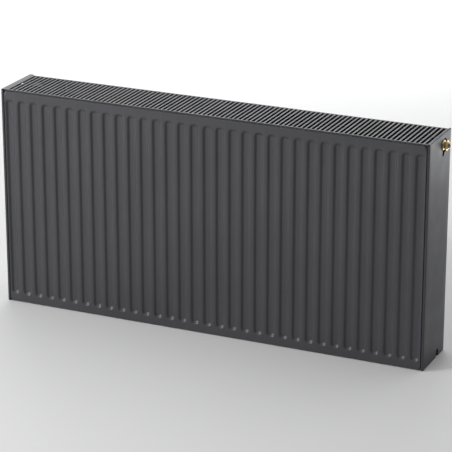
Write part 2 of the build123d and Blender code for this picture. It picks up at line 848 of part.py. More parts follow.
def side_cover(side, lip):
    """Folded tray over one end of the panels: face, four flanges, valve opening and lower notch."""
    outer_x = mid_x + side * half_casing
    with BuildPart() as cover:
        with BuildSketch(across_plane(outer_x)):
            with Locations((front_y, 0)):
                Rectangle(casing_depth, casing_height, align=(Align.MIN, Align.MIN))
        extrude(amount=-side * casing_sheet)
        with BuildSketch(across_plane(outer_x)):
            with Locations((front_y, 0)):
                Rectangle(casing_depth, casing_height, align=(Align.MIN, Align.MIN))
            with Locations((front_y + casing_sheet, 0)):
                Rectangle(
                    casing_depth - 2 * casing_sheet,
                    casing_height,
                    align=(Align.MIN, Align.MIN),
                    mode=Mode.SUBTRACT,
                )
        extrude(amount=-side * cover_flange)
        with BuildSketch(across_plane(outer_x)):
            with Locations((front_y, 0)):
                Rectangle(casing_depth, casing_sheet, align=(Align.MIN, Align.MIN))
        extrude(amount=-side * cover_flange)
        with BuildSketch(across_plane(outer_x)):
            with Locations((front_y, casing_height - casing_sheet)):
                Rectangle(casing_depth, casing_sheet, align=(Align.MIN, Align.MIN))
        extrude(amount=-side * lip)
        if lip < cover_flange:
            with BuildSketch(across_plane(outer_x - side * lip)):
                with Locations((front_y, casing_height - top_relief)):
                    Rectangle(casing_depth, top_relief, align=(Align.MIN, Align.MIN))
            extrude(amount=-side * (cover_flange - lip), mode=Mode.SUBTRACT)
        outer_edges = cover.edges().filter_by(Axis.Z).group_by(Axis.X)[-1 if side > 0 else 0]
        fillet(outer_edges, radius=fold_radius)
        with BuildSketch(across_plane(outer_x)):
            with Locations((tee_y, high_z)):
                Circle(opening_radius)
            with BuildLine():
                Line((tee_y, high_z), (tee_y - tail_shift, high_z - tail_drop))
            trace(line_width=tail_width)
            with Locations((tee_y - tail_shift, high_z - tail_drop)):
                Circle(tail_width / 2)
            with Locations((tee_y + notch_middle, 0)):
                Rectangle(notch_span, notch_top - notch_span / 2, align=(Align.CENTER, Align.MIN))
            with Locations((tee_y + notch_middle, notch_top - notch_span / 2)):
                Circle(notch_span / 2)
        extrude(amount=-side * (cover_flange + 1.0), mode=Mode.SUBTRACT)
    return cover.part


write(side_cover(-1, left_lip), "left_side_cover")
write(side_cover(1, right_lip), "right_side_cover")

# Each clip is a pair of leaves on a foot inside the cover, straddling a panel's seam rim.
leaf_sheet = 0.8
leaf_gap = 2 * sheet + 1.0
leaf_reach = 7.5
leaf_offset = (leaf_gap + leaf_sheet) / 2
clip_height = 24.0
clip_levels = (140.0, 414.0)
for side, name in ((-1, "left_cover_clips"), (1, "right_cover_clips")):
    foot_x = mid_x + side * (half_casing - casing_sheet)
    with BuildPart() as cover_clips:
        for clip_z in clip_levels:
            for seam_y in (middle_mid_plane, rear_mid_plane):
                with BuildSketch(Plane.XY.offset(clip_z - clip_height / 2)):
                    with Locations((foot_x - side * leaf_sheet / 2, seam_y)):
                        Rectangle(leaf_sheet, leaf_gap + 2 * leaf_sheet)
                    with Locations(
                        (foot_x - side * leaf_reach / 2, seam_y - leaf_offset),
                        (foot_x - side * leaf_reach / 2, seam_y + leaf_offset),
                    ):
                        Rectangle(leaf_reach, leaf_sheet)
                extrude(amount=clip_height)
    write(cover_clips.part, name)
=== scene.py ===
"""Panel radiator with valve: visual pieces, finishes and studio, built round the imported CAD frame.

Lengths are in metres in the CAD's own frame: the front faces -Y, the wall is towards +Y, the valve
is at the upper end on the +X side and +Z is up.
"""

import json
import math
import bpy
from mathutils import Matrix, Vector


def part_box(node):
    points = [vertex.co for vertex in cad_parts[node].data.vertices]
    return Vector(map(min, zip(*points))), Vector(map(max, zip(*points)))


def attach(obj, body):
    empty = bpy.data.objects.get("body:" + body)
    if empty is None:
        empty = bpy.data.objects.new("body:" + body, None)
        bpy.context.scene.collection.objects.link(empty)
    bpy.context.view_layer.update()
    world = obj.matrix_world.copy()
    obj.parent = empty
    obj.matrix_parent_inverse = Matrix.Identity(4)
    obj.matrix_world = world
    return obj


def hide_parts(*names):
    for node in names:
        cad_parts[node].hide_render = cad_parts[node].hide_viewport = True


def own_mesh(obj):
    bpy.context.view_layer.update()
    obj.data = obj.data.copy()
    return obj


bl_info = {
    "name": "Panel radiator with valve",
    "version": (1, 0, 0),
    "blender": (4, 5, 0),
    "location": "View3D > Sidebar > Radiator",
    "description": "Builds the pressed panels, casing, fixings and studio of a panel radiator",
    "category": "Add Mesh",
}

import bmesh
import bpy
import numpy as np
from bpy.props import FloatProperty, FloatVectorProperty, IntProperty, PointerProperty
from bpy.types import Operator, Panel, PropertyGroup
from mathutils import Vector

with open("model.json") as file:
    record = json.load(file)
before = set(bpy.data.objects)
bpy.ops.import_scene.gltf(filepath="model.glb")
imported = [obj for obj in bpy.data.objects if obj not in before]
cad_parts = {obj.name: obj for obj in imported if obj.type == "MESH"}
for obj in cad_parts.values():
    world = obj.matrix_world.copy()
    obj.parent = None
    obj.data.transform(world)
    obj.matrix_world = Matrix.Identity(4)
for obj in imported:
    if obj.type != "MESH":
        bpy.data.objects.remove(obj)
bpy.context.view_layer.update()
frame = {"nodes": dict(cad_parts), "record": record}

MM = 0.001
RADIATOR = "radiator"
GRILLE = "grille"
COVERS = {"left_side_cover": "left_cover", "right_side_cover": "right_cover"}
TEES = ("valve_tee", "lower_right_tee", "vent_tee", "lower_left_tee")
SEAM_DEPTH = 6.0 * MM  # from a pressed panel's outer face to the seam between its two sheets
TOOL_PITCH = 0.22 * MM  # from one tool ring to the next on turned metal


# ---- meshes ---------------------------------------------------------------------------------


def grid_faces(rows, columns):
    """Corner numbers of the quads of a rows x columns grid whose points are stored row by row."""
    numbers = np.arange(rows * columns).reshape(rows, columns)
    corners = (numbers[:-1, :-1], numbers[:-1, 1:], numbers[1:, 1:], numbers[1:, :-1])
    return np.stack(corners, axis=-1).reshape(-1, 4)


def ring_faces(rows, columns):
    """Quads of a grid whose last column joins back to its first, for closed sections."""
    numbers = np.arange(rows * columns).reshape(rows, columns)
    following = np.roll(numbers, -1, axis=1)
    corners = (numbers[:-1], following[:-1], following[1:], numbers[1:])
    return np.stack(corners, axis=-1).reshape(-1, 4)


def outward(mesh):
    """Merges doubled points and points the faces of a closed mesh outwards."""
    work = bmesh.new()
    work.from_mesh(mesh)
    bmesh.ops.remove_doubles(work, verts=work.verts, dist=2e-6)
    bmesh.ops.recalc_face_normals(work, faces=work.faces)
    work.to_mesh(mesh)
    work.free()


def new_piece(name, points, faces, material, facing=None, crease=35.0):
    """Makes a mesh object from point and face arrays, smooth but for edges over crease degrees.

    An open sheet gives facing, a direction that most of its faces should look in, and is turned
    over when their area-weighted normals point the other way.
    """
    mesh = bpy.data.meshes.new(name)
    mesh.from_pydata(np.asarray(points, float).tolist(), [], np.asarray(faces).tolist())
    mesh.update(calc_edges=True)
    outward(mesh)
    if facing is not None:
        normals = np.empty(len(mesh.polygons) * 3)
        areas = np.empty(len(mesh.polygons))
        mesh.polygons.foreach_get("normal", normals)
        mesh.polygons.foreach_get("area", areas)
        if (normals.reshape(-1, 3) * areas[:, None]).sum(axis=0) @ np.asarray(facing) < 0:
            mesh.flip_normals()
    mesh.shade_smooth()
    mesh.set_sharp_from_angle(angle=math.radians(crease))
    piece = bpy.data.objects.new(name, mesh)
    bpy.context.scene.collection.objects.link(piece)
    piece.data.materials.append(material)
    return piece


def thicken(piece, thickness, offset=-1.0, edge=0.0, edge_angle=50.0):
    """Gives a sheet its thickness, and breaks its square edges with a small round."""
    wall = piece.modifiers.new("sheet thickness", "SOLIDIFY")
    wall.thickness = thickness
    wall.offset = offset
    wall.use_even_offset = True
    if edge > 0:
        bevel = piece.modifiers.new("edge round", "BEVEL")
        bevel.width = edge
        bevel.segments = 2
        bevel.limit_method = "ANGLE"
        bevel.angle_limit = math.radians(edge_angle)
        bevel.harden_normals = True
    return piece


def stand_for(piece, body, *nodes, slot=None):
    """Makes a piece ride on its body and hide the CAD nodes that it stands for. The slot is not
    used.
    """
    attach(piece, body)
    if nodes:
        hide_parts(*nodes)
    return piece


def smooth_step(t):
    """Rises from 0 to 1 over the unit interval with level ends: 3 t^2 - 2 t^3."""
    t = np.clip(t, 0.0, 1.0)
    return t * t * (3.0 - 2.0 * t)


def pressed_ramp(t, rounding=0.3):
    """Rises from 0 to 1 over the unit interval: straight, but with parabolas at both ends.

    The rounding is each parabola's share of the interval.
    """
    t = np.clip(t, 0.0, 1.0)
    start = t**2 / (2 * rounding)
    finish = 1 - rounding - (1 - t) ** 2 / (2 * rounding)
    rise = np.where(t < rounding, start, np.where(t > 1 - rounding, finish, t - rounding / 2))
    return rise / (1 - rounding)


def fold(flat, low, high, radius):
    """Folds a flat coordinate round two quarter turns.

    Between the two folds the place equals the flat coordinate. Past a fold line it follows a
    quarter circle of the given radius and then runs straight inwards. Returns the place along the
    flat and the depth inwards.
    """
    over = np.maximum(flat - (high - radius), 0) + np.maximum(low + radius - flat, 0)
    turn = np.minimum(over / radius, math.pi / 2)
    depth = radius * (1 - np.cos(turn)) + np.maximum(over - radius * math.pi / 2, 0)
    reach = radius * np.sin(turn)
    past_high = np.where(flat > high - radius, reach, 0)
    past_low = np.where(flat < low + radius, reach, 0)
    return np.clip(flat, low + radius, high - radius) + past_high - past_low, depth


def fold_lines(low, high, radius, low_reach, high_reach, steps=4):
    """Grid lines of a folded sheet outside its flat: the arcs' points and each flange's edge."""
    arc = radius * np.linspace(0, math.pi / 2, steps + 1)
    before = low + radius - np.append(arc, arc[-1] + low_reach - radius)
    after = high - radius + np.append(arc, arc[-1] + high_reach - radius)
    return before[::-1], after


def onto_outline(points, distance, rounds=12):
    """Slides points to where a distance function is zero, along its slope, by Newton's steps."""
    step = 1e-6
    points = points.copy()
    for _ in range(rounds):
        value = distance(points)
        slope = np.stack(
            [
                (distance(points + np.array([step, 0.0])) - value) / step,
                (distance(points + np.array([0.0, step])) - value) / step,
            ],
            axis=-1,
        )
        points -= slope * (value / np.maximum((slope**2).sum(axis=-1), 0.2))[..., None]
    return points


def capsule_distance(points, start, end, radius):
    """Distance to a straight slot with round ends: distance to its middle line, less its radius."""
    along = np.asarray(end) - np.asarray(start)
    share = np.clip((points - start) @ along / max(along @ along, 1e-12), 0, 1)
    return np.hypot(*(points - start - share[..., None] * along).T) - radius


def rounded_box_distance(points, centre, half, corner):
    """Distance to a rounded rectangle: that of its corner-centres' box, less the corner radius."""
    away = np.abs(points - centre) - (np.asarray(half) - corner)
    outside = np.hypot(*np.maximum(away, 0).T)
    return outside + np.minimum(away.max(axis=-1), 0) - corner


def punched_sheet(across, along, present, holes):
    """Flat sheet on the grid of two sets of lines, with holes.

    present(a, b) says which cell centres belong to the sheet. Each hole is a rectangle of whole
    cells (four line numbers), a distance function, and whether the rectangle's low edge is open.
    Its cells make way for a ring of quads from the rectangle's own points to the nearest points
    of the outline. Returns (n, 2) points and quads.
    """
    a, b = np.meshgrid(across, along)
    points = np.stack([a, b], axis=-1)
    rows, columns = a.shape
    middle_a, middle_b = np.meshgrid((across[1:] + across[:-1]) / 2, (along[1:] + along[:-1]) / 2)
    keep = present(middle_a, middle_b)
    numbers = np.arange(rows * columns).reshape(rows, columns)
    all_points = [points.reshape(-1, 2)]
    all_faces = []
    count = rows * columns
    for (first, last, low, high), distance, is_open in holes:
        keep[low:high, first:last] = False
        left = numbers[low:high, first]
        top = numbers[high, first:last]
        right = numbers[high:low:-1, last]
        if is_open:
            border = np.concatenate([left, top, right, numbers[low : low + 1, last]])
        else:
            border = np.concatenate([left, top, right, numbers[low, last:first:-1], left[:1]])
        outline = onto_outline(points.reshape(-1, 2)[border], distance)
        inner = count + np.arange(len(border))
        all_points.append(outline)
        all_faces.append(np.stack([border[:-1], border[1:], inner[1:], inner[:-1]], axis=-1))
        count += len(border)
    cells = grid_faces(rows, columns)[keep.ravel()]
    return np.concatenate(all_points), np.concatenate([cells, *all_faces])


def lines_between(low, high, step):
    """Evenly spaced grid lines from low to high, about step apart, both ends included."""
    return np.linspace(low, high, max(int(round((high - low) / step)), 1) + 1)


def line_number(lines, value):
    """Number of the grid line nearest to a value."""
    return int(np.abs(np.asarray(lines) - value).argmin())


def rounded_path(corners, radius, steps=4):
    """Carries an open path round its corners on circular arcs of one radius.

    Each arc touches both of a corner's runs at the radius times the tangent of half the turn.
    """
    corners = np.asarray(corners, float)
    before, middle, after = corners[:-2], corners[1:-1], corners[2:]
    into = (middle - before) / np.linalg.norm(middle - before, axis=1)[:, None]
    out = (after - middle) / np.linalg.norm(after - middle, axis=1)[:, None]
    turn = np.arctan2(into[:, 0] * out[:, 1] - into[:, 1] * out[:, 0], (into * out).sum(axis=1))
    start = middle - into * (radius * np.tan(np.abs(turn) / 2))[:, None]
    side = np.stack([-into[:, 1], into[:, 0]], axis=1) * np.sign(turn)[:, None]
    angle = np.abs(turn)[:, None] * np.linspace(0, 1, steps + 1)[None, :]
    arcs = (
        start[:, None, :]
        + into[:, None, :] * (radius * np.sin(angle))[..., None]
        + side[:, None, :] * (radius * (1 - np.cos(angle)))[..., None]
    )
    return np.concatenate([corners[:1], arcs.reshape(-1, 2), corners[-1:]])


def drawn_sheet(path, heights):
    """Upright sheet: a path in X and Y carried straight up through a set of heights."""
    points = np.concatenate(
        [
            np.broadcast_to(path[None, :, :], (len(heights), len(path), 2)),
            np.broadcast_to(np.asarray(heights)[:, None, None], (len(heights), len(path), 1)),
        ],
        axis=-1,
    )
    return points.reshape(-1, 3), grid_faces(len(heights), len(path))


def bead(centre, axis, radius, width, ripples, sides=10, around=96):
    """Welded bead: a small circle carried round a ring, its size rippling along the ring.

    The section's radius is the width times 1 + 0.12 cos(ripples x angle + a slow wander).
    """
    around_angle = np.linspace(0, 2 * math.pi, around, endpoint=False)[:, None]
    section_angle = np.linspace(0, 2 * math.pi, sides, endpoint=False)[None, :]
    wander = 0.6 * np.sin(3 * around_angle + radius * 900)
    size = width * (1 + 0.12 * np.cos(ripples * around_angle + wander))
    distance = radius + size * np.cos(section_angle)
    rise = size * np.sin(section_angle)
    axis = np.asarray(axis, float)
    first = np.array([axis[2], axis[0], axis[1]])
    second = np.cross(axis, first)
    points = (
        np.asarray(centre)
        + distance[..., None] * (np.cos(around_angle)[..., None] * first)
        + distance[..., None] * (np.sin(around_angle)[..., None] * second)
        + rise[..., None] * axis
    )
    closed = np.concatenate([points, points[:1]])
    return closed.reshape(-1, 3), ring_faces(around + 1, sides)


def coiled_wire(low, high, wire, turns, sides=8, around=24):
    """Helical wire along X between two box corners, closed at both ends.

    At share t its middle line stands at the angle 2 pi turns t round the box's middle and at the
    place t of its length. The section is a circle of the wire's radius square to that line.
    """
    middle = (low + high) / 2
    radius = (high.z - low.z) / 2 - wire
    length = high.x - low.x - 2 * wire
    share = np.linspace(0, 1, turns * around + 1)
    share = np.concatenate([[0.0], share, [1.0]])[:, None]
    size = np.full(share.shape, wire)
    size[[0, -1]] = wire * 0.01
    angle = 2 * math.pi * turns * share
    lean = math.atan2(length, 2 * math.pi * turns * radius)
    level = np.zeros_like(angle)
    away = np.stack([level, np.cos(angle), np.sin(angle)], axis=-1)
    along = np.stack(
        [level + math.sin(lean), -math.cos(lean) * np.sin(angle), math.cos(lean) * np.cos(angle)],
        axis=-1,
    )
    across = np.cross(away, along)
    start = np.array([low.x + wire, middle.y, middle.z])
    line = start + share[..., None] * np.array([length, 0.0, 0.0]) + radius * away
    section = np.linspace(0, 2 * math.pi, sides, endpoint=False)[None, :, None]
    points = line + size[..., None] * (np.cos(section) * away + np.sin(section) * across)
    return points.reshape(-1, 3), ring_faces(len(share), sides)


def joined(parts):
    """Joins several (points, faces) pairs into one pair, shifting the later faces' numbers."""
    counts = np.cumsum([0] + [len(points) for points, _ in parts[:-1]])
    faces = [face + count for (_, face), count in zip(parts, counts)]
    return np.concatenate([points for points, _ in parts]), np.concatenate(faces)


# ---- finishes -------------------------------------------------------------------------------


class Finish:
    """A node material under construction: one Principled shader fed by object-space patterns."""

    def __init__(self, name, colour, roughness, metallic=0.0, coat=0.0):
        self.material = bpy.data.materials.new(name)
        self.material.use_nodes = True
        self.material.diffuse_color = (*colour, 1.0)
        self.tree = self.material.node_tree
        self.shader = self.tree.nodes["Principled BSDF"]
        self.shader.inputs["Base Color"].default_value = (*colour, 1.0)
        self.shader.inputs["Roughness"].default_value = roughness
        self.shader.inputs["Metallic"].default_value = metallic
        self.shader.inputs["Coat Weight"].default_value = coat
        self.shader.inputs["Coat Roughness"].default_value = 0.3
        self.place = self.tree.nodes.new("ShaderNodeTexCoord").outputs["Object"]

    def link(self, source, target):
        """Joins an output to an input."""
        self.tree.links.new(source, target)

    def node(self, kind, settings, source=None, socket="Vector"):
        """Adds a shader node, sets its inputs by name and links a source to one of them."""
        node = self.tree.nodes.new("ShaderNode" + kind)
        for name, value in settings.items():
            node.inputs[name].default_value = value
        if source is not None:
            self.link(source, node.inputs[socket])
        return node

    def mapped(self, location=(0, 0, 0), scale=(1, 1, 1)):
        """Object coordinates, moved and stretched."""
        settings = {"Location": location, "Scale": scale}
        return self.node("Mapping", settings, self.place).outputs["Vector"]

    def noise(self, scale, detail=2.0, place=None):
        """Soft noise; scale is in cycles to the metre."""
        settings = {"Scale": scale, "Detail": detail}
        return self.node("TexNoise", settings, place or self.place).outputs["Fac"]

    def cells(self, scale):
        """Distance to the nearest of scattered points, for grains and pits."""
        return self.node("TexVoronoi", {"Scale": scale}, self.place).outputs["Distance"]

    def rings(self, scale, place, distortion):
        """Fine rings round the X axis of the given coordinates."""
        node = self.node("TexWave", {"Scale": scale, "Distortion": distortion}, place)
        node.wave_type = "RINGS"
        node.rings_direction = "X"
        return node.outputs["Fac"]

    def ranged(self, value, low, high, from_low=0.3, from_high=0.7):
        """Spreads a pattern's usual range over low to high."""
        settings = {"From Min": from_low, "From Max": from_high, "To Min": low, "To Max": high}
        return self.node("MapRange", settings, value, "Value").outputs["Result"]

    def math(self, kind, first, second):
        """One sum on two values, each an output or a number."""
        node = self.tree.nodes.new("ShaderNodeMath")
        node.operation = kind
        for socket, value in zip(node.inputs, (first, second)):
            if isinstance(value, (int, float)):
                socket.default_value = value
            else:
                self.link(value, socket)
        return node.outputs["Value"]

    def tint(self, value, dark, light, from_low=0.3, from_high=0.7):
        """Colours the surface between two colours by a pattern."""
        node = self.tree.nodes.new("ShaderNodeMix")
        node.data_type = "RGBA"
        first, second = [socket for socket in node.inputs if socket.type == "RGBA"]
        first.default_value = (*dark, 1.0)
        second.default_value = (*light, 1.0)
        self.link(self.ranged(value, 0.0, 1.0, from_low, from_high), node.inputs["Factor"])
        output = [socket for socket in node.outputs if socket.type == "RGBA"][0]
        self.link(output, self.shader.inputs["Base Color"])

    def rough(self, value, low, high):
        """Varies the roughness by a pattern."""
        self.link(self.ranged(value, low, high), self.shader.inputs["Roughness"])

    def bump(self, layers):
        """Stacks bumps: (height output, height in metres, strength) from the coarsest up."""
        normal = None
        for height, distance, strength in layers:
            node = self.node("Bump", {"Distance": distance, "Strength": strength}, height, "Height")
            if normal is not None:
                self.link(normal, node.inputs["Normal"])
            normal = node.outputs["Normal"]
        self.link(normal, self.shader.inputs["Normal"])


def scaled(colour, factor):
    """A colour made lighter or darker."""
    return tuple(channel * factor for channel in colour)


def enamel(name, colour, roughness, peel, specular=0.42):
    """Satin powder coat: orange peel about 1.5 mm across, slow waviness and cloudy gloss."""
    finish = Finish(name, colour, roughness)
    finish.shader.inputs["Specular IOR Level"].default_value = specular
    clouds = finish.noise(6.0, 3.0)
    finish.tint(clouds, scaled(colour, 0.93), scaled(colour, 1.07))
    grain = finish.noise(1400.0, 1.0)
    cloudy_gloss = finish.math("ADD", finish.noise(22.0, 4.0), finish.math("MULTIPLY", grain, 0.15))
    finish.rough(cloudy_gloss, roughness * 0.9, roughness * 1.12)
    finish.bump(
        [
            (finish.noise(9.0, 1.0), 0.0006, 0.25),
            (finish.noise(650.0, 1.5), 0.00006, peel),
            (grain, 0.00001, peel),
        ]
    )
    return finish.material


def turned_metal(
    name, colour, roughness, tarnish_and_shade, axis_point, pitch=TOOL_PITCH, painted_shade_end=None
):
    """Turned metal: tool rings round the valve's axis, tarnished in soft patches.

    With an X place in metres as the last argument, the metal gets painted shade, a near-black
    brown, on that place's inner side, deep in the side cover's opening, and turns bright over
    the 2.5 mm beyond it.
    """
    finish = Finish(name, colour, roughness, metallic=1.0)
    patches = finish.noise(170.0, 4.0)
    if painted_shade_end is None:
        finish.tint(patches, tarnish_and_shade, colour, 0.32, 0.6)
    else:
        split = finish.node("SeparateXYZ", {}, finish.place)
        # Painted shade: this share is 0 on the inner side of the given X place, where the metal is
        # painted near-black as if unlit, and 1 beyond it
        outer = finish.ranged(split.outputs["X"], 0.0, 1.0, painted_shade_end, painted_shade_end + 2.5 * MM)
        lit_and_clean = finish.math("MULTIPLY", outer, finish.ranged(patches, 0.55, 1.0, 0.3, 0.6))
        # The dark colour is the tarnish colour at 0.12: painted shade where the share is 0, patchy
        # tarnish beyond it
        finish.tint(lit_and_clean, scaled(tarnish_and_shade, 0.12), colour, 0.0, 1.0)
    finish.rough(finish.noise(420.0, 3.0), roughness * 0.8, roughness * 1.35)
    centred = finish.mapped(location=(0.0, -axis_point[1], -axis_point[2]))
    squeezed = finish.tree.nodes.new("ShaderNodeVectorMath")
    squeezed.operation = "MULTIPLY"
    squeezed.inputs[1].default_value = (0.35, 1.0, 1.0)
    finish.link(centred, squeezed.inputs[0])
    finish.bump(
        [
            (finish.noise(900.0, 2.0), 0.00002, 0.35),
            (finish.rings(0.05 / pitch, squeezed.outputs["Vector"], 0.4), 0.000012, 0.5),
        ]
    )
    return finish.material


def zinc(name, colour):
    """Galvanised spring steel: pale spangles a few millimetres across, with drawn scratches."""
    finish = Finish(name, colour, 0.36, metallic=1.0)
    spangle = finish.cells(260.0)
    finish.tint(spangle, scaled(colour, 0.72), colour, 0.1, 0.7)
    scratches = finish.noise(500.0, 4.0, finish.mapped(scale=(1.0, 1.0, 0.05)))
    finish.rough(scratches, 0.27, 0.46)
    finish.bump([(scratches, 0.00002, 0.4)])
    return finish.material


def moulded_plastic(name, colour, roughness, grain_scale):
    """Moulded plastic: fine spark-eroded grain with slight flow clouds."""
    finish = Finish(name, colour, roughness)
    finish.tint(finish.noise(120.0, 3.0), scaled(colour, 0.86), scaled(colour, 1.12))
    grain = finish.noise(grain_scale, 2.0)
    finish.rough(grain, roughness * 0.88, roughness * 1.12)
    finish.bump([(grain, 0.00002, 0.5), (finish.cells(grain_scale * 0.7), 0.00001, 0.4)])
    return finish.material


def rubber(name, colour):
    """Moulded rubber: matt with a bloom of paler patches and fine pitting."""
    finish = Finish(name, colour, 0.62)
    finish.tint(finish.noise(260.0, 4.0), colour, scaled(colour, 2.0), 0.35, 0.75)
    pits = finish.cells(2600.0)
    finish.rough(pits, 0.5, 0.72)
    finish.bump([(pits, 0.00002, 0.4)])
    return finish.material


def floor_finish(name, colour):
    """Matt painted floor with barely visible rolling marks."""
    finish = Finish(name, colour, 0.85)
    finish.shader.inputs["Specular IOR Level"].default_value = 0.2
    finish.tint(finish.noise(0.7, 2.0), scaled(colour, 0.985), colour)
    finish.bump([(finish.noise(60.0, 3.0), 0.0002, 0.2)])
    return finish.material


def dress(material, *nodes):
    """Gives carried-over CAD nodes their finish."""
    for node in nodes:
        slots = frame["nodes"][node].data.materials
        for number in range(len(slots)):
            slots[number] = material
        if not slots:
            slots.append(material)


def finishes():
    """All finishes by name: each is made from the scene's colours unless its name is in use.

    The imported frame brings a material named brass, so that name gives the frame's plain brass and
    the turned brass listed here is not made.
    """
    colours = bpy.context.scene.radiator_finishes
    enamel_colour, brass = colours.enamel, colours.brass
    nickel, steel = colours.nickel, colours.steel
    axis_point = axis_of_valve()
    # Where the painted shade on the valve's brass ends: 5.5 mm outside the right cover's face
    shade_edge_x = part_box("right_side_cover")[1].x + 5.5 * MM
    makers = {
        "panel enamel": (enamel, enamel_colour, colours.gloss, 0.8),
        "casing enamel": (enamel, enamel_colour, colours.gloss * 0.95, 0.7, 0.25),
        # Painted shade: the inner sheets and convectors get the enamel at 0.3 of its colour, dark as
        # if unlit
        "duct enamel": (enamel, scaled(enamel_colour, 0.3), 0.6, 0.7, 0.15),
        "brass": (turned_metal, brass, 0.31, scaled(brass, 0.55), axis_point, TOOL_PITCH,
                  shade_edge_x),
        "nickel": (turned_metal, nickel, 0.2, scaled(nickel, 0.75), axis_point),
        "ground steel": (turned_metal, steel, 0.22, scaled(steel, 0.8), axis_point, 0.15 * MM),
        "zinc": (zinc, steel),
        "spring steel": (zinc, scaled(steel, 0.16)),
        "black plastic": (moulded_plastic, colours.black, 0.42, 3200.0),
        "pale plastic": (moulded_plastic, colours.nozzle, 0.38, 2600.0),
        "rubber": (rubber, colours.black),
    }
    for name, (make, *values) in makers.items():
        if name not in bpy.data.materials:
            make(name, *values)
    return {name: bpy.data.materials[name] for name in makers}


def axis_of_valve():
    """A point on the valve's axis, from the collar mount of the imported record."""
    mounts = {mount["name"]: mount for mount in frame["record"]["mounts"]}
    return tuple(mounts["valve_head_collar"]["pos_m"])


# ---- settings -------------------------------------------------------------------------------


def a_length(name, description, default, precision=4):
    """A length setting."""
    return FloatProperty(
        name=name, description=description, default=default, unit="LENGTH", precision=precision
    )


def a_colour(name, description, default):
    """A colour setting."""
    return FloatVectorProperty(
        name=name, description=description, subtype="COLOR", default=default, min=0.0, max=1.0
    )


class PanelSettings(PropertyGroup):
    """Sizes of the pressed panels."""

    channels: IntProperty(
        name="Channels", description="Pressed recesses along one panel", default=33, min=2
    )
    wall_start: a_length("Wall start", "Half width of a recess's level floor", 5.6 * MM)
    wall_end: a_length("Wall end", "Half width of a recess at the face", 12.5 * MM)
    recess_end: a_length("Recess end", "Ends of the recesses from the panel's edges", 23.0 * MM)
    sheet: a_length("Sheet", "Thickness of the pressed steel", 1.25 * MM, 5)
    rim: a_length("Rim", "Flat seam edge round the pressing", 0.3 * MM)


class CasingSettings(PropertyGroup):
    """Sizes of the top grille and side covers."""

    slots: IntProperty(
        name="Slots", description="Punched slots along the grille", default=94, min=1
    )
    slot_pitch: a_length("Slot pitch", "From one slot to the next", 11.6 * MM)
    slot_width: a_length("Slot width", "Width of one slot", 6.8 * MM)
    slot_length: a_length("Slot length", "Length of one slot, front to back", 130.0 * MM)
    sheet: a_length("Sheet", "Thickness of the casing steel", 1.0 * MM, 5)
    fold: a_length("Fold radius", "Outer radius of the folds", 1.3 * MM, 5)
    opening: a_length("Valve opening", "Radius of the round opening in each side cover", 17.0 * MM)


class FinishSettings(PropertyGroup):
    """Colours of the radiator's finishes."""

    enamel: a_colour("Enamel", "Powder coat of the panels and casing", (0.0445, 0.0445, 0.0510))
    gloss: FloatProperty(
        name="Roughness", description="Roughness of the powder coat",
        default=0.36, min=0.0, max=1.0, subtype="FACTOR",
    )
    brass: a_colour("Brass", "Bright turned brass", (0.24, 0.225, 0.165))
    nickel: a_colour("Nickel", "Nickel plate on the plugs", (0.66, 0.64, 0.60))
    steel: a_colour("Steel", "Bare and zinc-plated steel", (0.60, 0.61, 0.63))
    black: a_colour("Black", "Black plastic and rubber", (0.012, 0.012, 0.013))
    nozzle: a_colour("Nozzle", "Pale plastic of the vent nozzle", (0.62, 0.62, 0.60))


class StudioSettings(PropertyGroup):
    """Camera, floor and lights."""

    azimuth: FloatProperty(
        name="Azimuth", description="Camera's turn from the front towards the valve side",
        default=math.radians(24.26), subtype="ANGLE",
    )
    elevation: FloatProperty(
        name="Elevation", description="Camera's rise above the target",
        default=math.radians(19.69), subtype="ANGLE",
    )
    distance: FloatProperty(
        name="Distance", description="Camera to target", default=5.414, unit="LENGTH"
    )
    target: FloatVectorProperty(
        name="Target", description="Point that the camera looks at",
        subtype="TRANSLATION", default=(0.0115, 0.0, 0.258), unit="LENGTH",
    )
    lens: FloatProperty(
        name="Lens", description="Focal length on a 36 mm sensor, in millimetres", default=177.46
    )
    floor: a_colour("Floor", "Colour of the floor", (0.90, 0.90, 0.90))
    overhead: FloatProperty(
        name="Overhead", description="Strength of the even overhead light", default=0.6, min=0.0
    )
    sky: FloatProperty(
        name="Surround", description="Brightness of the plain surround", default=0.22, min=0.0
    )


# ---- pieces ---------------------------------------------------------------------------------


def pressing_height(along, up, length, height, settings):
    """Height of a pressed sheet's outer face above the seam plane.

    It is the sheet's own thickness at the rim and rises from there, in a smooth step, to the
    pressed level. That level is a ramp from a recess's floor to the land, by the distance from
    the nearest recess's upright middle line, so a recess's ends are round. The land falls by the
    crown towards its edges and the floor rises by the hollow towards its own, both as squares.
    """
    corner, end_radius, rim_rise = 9.0 * MM, 10.0 * MM, 1.5 * MM
    hollow, crown = 0.25 * MM, 0.3 * MM
    pitch = length / settings.channels
    depth = SEAM_DEPTH - settings.sheet
    half = (length / 2 - settings.rim, height / 2 - settings.rim)
    spot = np.stack([along, up], axis=-1).reshape(-1, 2)
    inwards = -rounded_box_distance(spot, np.array([0.0, height / 2]), half, corner)
    raised = smooth_step(inwards.reshape(along.shape) / rim_rise)
    off_centre = 0.5 * (1 - settings.channels % 2)
    last = settings.channels // 2
    nearest = np.clip(np.round(along / pitch - off_centre), -last, last)
    across = along - pitch * (nearest + off_centre)
    end_line = settings.recess_end + end_radius
    past = np.maximum(end_line - up, 0) + np.maximum(up - (height - end_line), 0)
    away = np.hypot(across, past)
    span = settings.wall_end - settings.wall_start
    land = pressed_ramp((away - settings.wall_start) / span)
    floor_rise = hollow * np.clip(away / settings.wall_start, 0, 1) ** 2
    land_share = (pitch / 2 - np.abs(across)) / (pitch / 2 - settings.wall_end)
    land_fall = crown * np.clip(land_share, 0, 1) ** 2
    level = (depth - crown) * land + crown - land_fall * land - hollow + floor_rise
    return settings.sheet + raised * np.clip(level, 0, depth)


